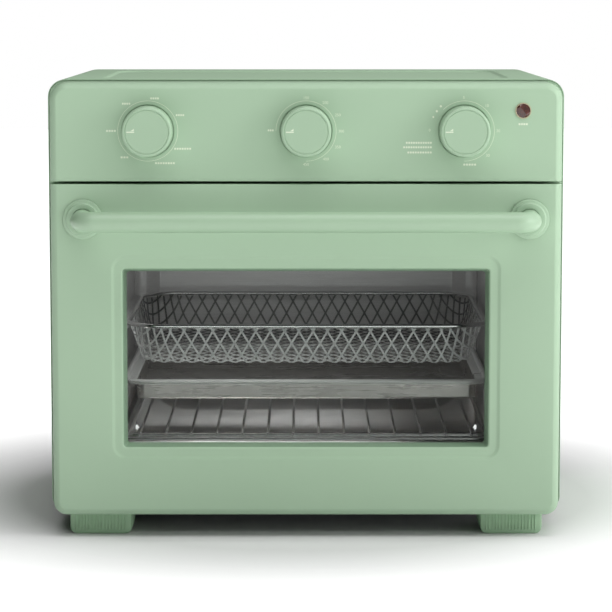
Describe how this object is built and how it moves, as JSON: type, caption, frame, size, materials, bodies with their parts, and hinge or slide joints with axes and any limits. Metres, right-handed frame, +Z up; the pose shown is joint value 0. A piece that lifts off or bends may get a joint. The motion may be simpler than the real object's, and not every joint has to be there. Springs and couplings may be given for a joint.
{
  "type": "toaster oven",
  "caption": "Countertop toaster oven with a drop-down glass door, tubular handle, rotary knobs, wire rack, baking pan and mesh air-fry basket, in sage green.",
  "frame": {"origin": "on the table, under the middle of the oven's overall box", "axes": "+X to the viewer's right, +Y from the door to the rear, +Z up"},
  "size_m": [0.404, 0.34, 0.3595],
  "materials": {
    "body_green": "smooth satin powder coat, sage green",
    "front_green": "smooth semi-gloss moulding, sage green",
    "trim_green": "smooth semi-gloss turned caps and rings, sage green",
    "foot_plastic": "matt moulded plastic with fine upright flutes, darker green",
    "liner_metal": "aluminised sheet, soft brushed sheen",
    "bright_wire": "bright plated wire",
    "pan_metal": "satin aluminium, slightly warm grey",
    "sheet_steel": "plain zinc-plated sheet",
    "window_glass": "clear tempered sheet",
    "lamp_lens": "dark red-brown clear lens",
    "black_plastic": "matt black moulding",
    "ceramic": "unglazed ceramic insulator",
    "element_metal": "heat-darkened tubular sheath",
    "seal_rubber": "matt silicone"
  },
  "bodies": {
    "cabinet": {"back_panel": "sheet_steel", "base_pan": "sheet_steel", "control_bracket": "sheet_steel", "control_panel": "front_green", "cord_gland": "black_plastic", "fan_guard": "liner_metal", "fan_motor": "black_plastic", "foot_front_left": "foot_plastic", "foot_front_right": "foot_plastic", "foot_rear_left": "foot_plastic", "foot_rear_right": "foot_plastic", "front_frame": "sheet_steel", "hinge_bracket_left": "sheet_steel", "hinge_bracket_right": "sheet_steel", "indicator_lamp": "black_plastic", "indicator_lens": "lamp_lens", "liner_back": "liner_metal", "liner_floor": "liner_metal", "liner_left": "liner_metal", "liner_right": "liner_metal", "liner_top": "liner_metal", "lower_element_front": "element_metal", "lower_element_holder_left": "ceramic", "lower_element_holder_right": "ceramic", "lower_element_rear": "element_metal", "outer_shell": "body_green", "selector_switch": "black_plastic", "terminal_block": "ceramic", "thermostat": "black_plastic", "thermostat_probe": "bright_wire", "timer": "black_plastic", "upper_element_front": "element_metal", "upper_element_holder_left": "ceramic", "upper_element_holder_right": "ceramic", "upper_element_rear": "element_metal"},
    "door": {"door_panel": "front_green", "door_glass": "window_glass", "window_seal": "seal_rubber", "door_inner_frame": "sheet_steel", "handle_bar": "front_green", "handle_rosette_left": "trim_green", "handle_rosette_right": "trim_green", "handle_screw_left": "sheet_steel", "handle_screw_right": "sheet_steel", "hinge_pin_left": "sheet_steel", "hinge_pin_right": "sheet_steel", "hinge_spring_left": "sheet_steel", "hinge_spring_right": "sheet_steel"},
    "rack": {"wire_rack": "bright_wire"},
    "pan": {"baking_pan": "pan_metal"},
    "basket": {"air_fry_basket": "bright_wire"},
    "tray": {"crumb_tray": "liner_metal"},
    "selector": {"selector_knob": "trim_green", "selector_shaft": "sheet_steel"},
    "heat_dial": {"thermostat_knob": "trim_green", "thermostat_shaft": "sheet_steel"},
    "time_dial": {"timer_knob": "trim_green", "timer_shaft": "sheet_steel"},
    "fan": {"fan_blade": "sheet_steel", "fan_shaft": "sheet_steel"}
  },
  "joints": [
    {"name": "door_hinge", "type": "hinge", "parent": "cabinet", "child": "door", "pos_m": [0, -0.124, 0.027], "axis": [1, 0, 0], "range_deg": [0, 80], "stiffness_Nm_per_rad": 0.3, "springref_deg": -91.67},
    {"name": "rack_slide", "type": "slide", "parent": "cabinet", "child": "rack", "axis": [0, -1, 0], "range_m": [0, 0.065]},
    {"name": "pan_slide", "type": "slide", "parent": "cabinet", "child": "pan", "axis": [0, -1, 0], "range_m": [0, 0.1]},
    {"name": "basket_slide", "type": "slide", "parent": "cabinet", "child": "basket", "axis": [0, -1, 0], "range_m": [0, 0.13]},
    {"name": "tray_slide", "type": "slide", "parent": "cabinet", "child": "tray", "axis": [0, 1, 0], "range_m": [0, 0.23]},
    {"name": "selector_turn", "type": "hinge", "parent": "cabinet", "child": "selector", "pos_m": [-0.1225, -0.132, 0.3206], "axis": [0, 1, 0], "range_deg": [0, 308]},
    {"name": "thermostat_turn", "type": "hinge", "parent": "cabinet", "child": "heat_dial", "pos_m": [0, -0.132, 0.3206], "axis": [0, 1, 0], "range_deg": [0, 270]},
    {"name": "timer_turn", "type": "hinge", "parent": "cabinet", "child": "time_dial", "pos_m": [0.1225, -0.132, 0.3206], "axis": [0, 1, 0], "range_deg": [0, 270]},
    {"name": "fan_spin", "type": "hinge", "parent": "cabinet", "child": "fan", "pos_m": [0, 0.023, 0.255], "axis": [0, 0, 1], "continuous": true}
  ],
  "couplings": [
    {"joint": "rack_slide", "follows": "door_hinge", "m_per_rad": 0.045},
    {"joint": "pan_slide", "follows": "door_hinge", "m_per_rad": 0.07},
    {"joint": "basket_slide", "follows": "door_hinge", "m_per_rad": 0.09}
  ]
}
